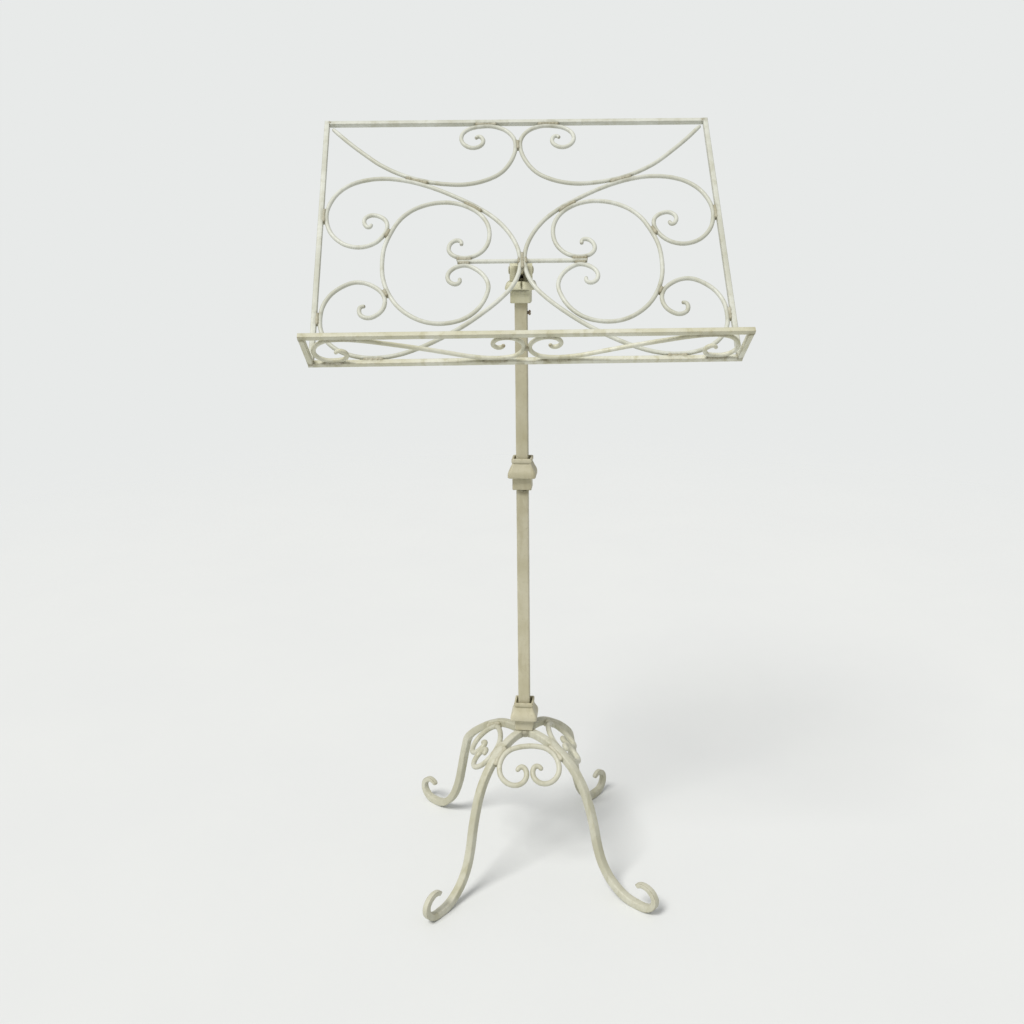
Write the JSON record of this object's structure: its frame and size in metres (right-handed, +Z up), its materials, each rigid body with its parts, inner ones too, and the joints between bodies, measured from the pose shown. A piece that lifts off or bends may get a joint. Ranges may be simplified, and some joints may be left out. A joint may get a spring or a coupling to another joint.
{
  "type": "music stand",
  "caption": "Wrought-iron music stand with a tilting scrollwork desk, a lip for the pages, a telescopic square post with cast collars, and scrolled legs.",
  "frame": {"origin": "middle of the bounding box at floor level; the post axis stands 11.5 mm behind it", "axes": "+Z up, +Y away from the reader, +X to the reader's right, along the desk's rails"},
  "size_m": [0.4828, 0.3434, 0.9758],
  "materials": {
    "base_collar": "aged satin cream paint",
    "base_scroll_front": "aged satin cream paint",
    "base_scroll_left": "aged satin cream paint",
    "base_scroll_right": "aged satin cream paint",
    "circle_scroll_left": "aged satin cream paint",
    "circle_scroll_right": "aged satin cream paint",
    "corner_scroll_left": "aged satin cream paint",
    "corner_scroll_right": "aged satin cream paint",
    "cross_rod_left": "aged satin cream paint",
    "cross_rod_right": "aged satin cream paint",
    "desk_bottom_rail": "aged satin cream paint",
    "desk_left_rail": "aged satin cream paint",
    "desk_right_rail": "aged satin cream paint",
    "desk_tongue": "aged satin cream paint",
    "desk_top_rail": "aged satin cream paint",
    "guide_bush": "dull",
    "head_yoke": "aged satin cream paint",
    "hub_block": "aged satin cream paint",
    "leg_back_left": "aged satin cream paint",
    "leg_back_right": "aged satin cream paint",
    "leg_front_left": "aged satin cream paint",
    "leg_front_right": "aged satin cream paint",
    "lip_front_rail": "aged satin cream paint",
    "lip_left_end": "aged satin cream paint",
    "lip_right_end": "aged satin cream paint",
    "lip_scroll_left": "aged satin cream paint",
    "lip_scroll_right": "aged satin cream paint",
    "main_scroll_left": "aged satin cream paint",
    "main_scroll_right": "aged satin cream paint",
    "mid_collar": "aged satin cream paint",
    "pivot_pin": "aged satin cream paint",
    "post_tube": "aged satin cream paint",
    "set_screw": "rusty, dull",
    "stem": "worn satin",
    "top_collar": "aged satin cream paint"
  },
  "bodies": {
    "stand": {"base_collar": "base_collar", "base_scroll_front": "base_scroll_front", "base_scroll_left": "base_scroll_left", "base_scroll_right": "base_scroll_right", "guide_bush": "guide_bush", "hub_block": "hub_block", "leg_back_left": "leg_back_left", "leg_back_right": "leg_back_right", "leg_front_left": "leg_front_left", "leg_front_right": "leg_front_right", "mid_collar": "mid_collar", "post_tube": "post_tube", "top_collar": "top_collar"},
    "stem": {"stem": "stem"},
    "head": {"head_yoke": "head_yoke", "pivot_pin": "pivot_pin"},
    "desk": {"circle_scroll_left": "circle_scroll_left", "circle_scroll_right": "circle_scroll_right", "corner_scroll_left": "corner_scroll_left", "corner_scroll_right": "corner_scroll_right", "cross_rod_left": "cross_rod_left", "cross_rod_right": "cross_rod_right", "desk_bottom_rail": "desk_bottom_rail", "desk_left_rail": "desk_left_rail", "desk_right_rail": "desk_right_rail", "desk_tongue": "desk_tongue", "desk_top_rail": "desk_top_rail", "lip_front_rail": "lip_front_rail", "lip_left_end": "lip_left_end", "lip_right_end": "lip_right_end", "lip_scroll_left": "lip_scroll_left", "lip_scroll_right": "lip_scroll_right", "main_scroll_left": "main_scroll_left", "main_scroll_right": "main_scroll_right"},
    "set_screw": {"set_screw": "set_screw"}
  },
  "joints": [
    {"name": "height_slide", "type": "slide", "parent": "stand", "child": "stem", "axis": [0, 0, 1], "range_m": [0, 0.25]},
    {"name": "desk_swivel", "type": "hinge", "parent": "stem", "child": "head", "pos_m": [0, 0.0115, 0.7982], "axis": [0, 0, 1], "continuous": true},
    {"name": "desk_tilt", "type": "hinge", "parent": "head", "child": "desk", "pos_m": [0, 0.0115, 0.7982], "axis": [1, 0, 0], "range_deg": [-30, 25]},
    {"name": "set_screw_turn", "type": "hinge", "parent": "stand", "child": "set_screw", "pos_m": [0, 0.0115, 0.7476], "axis": [0.9925, -0.1219, 0], "continuous": true}
  ]
}
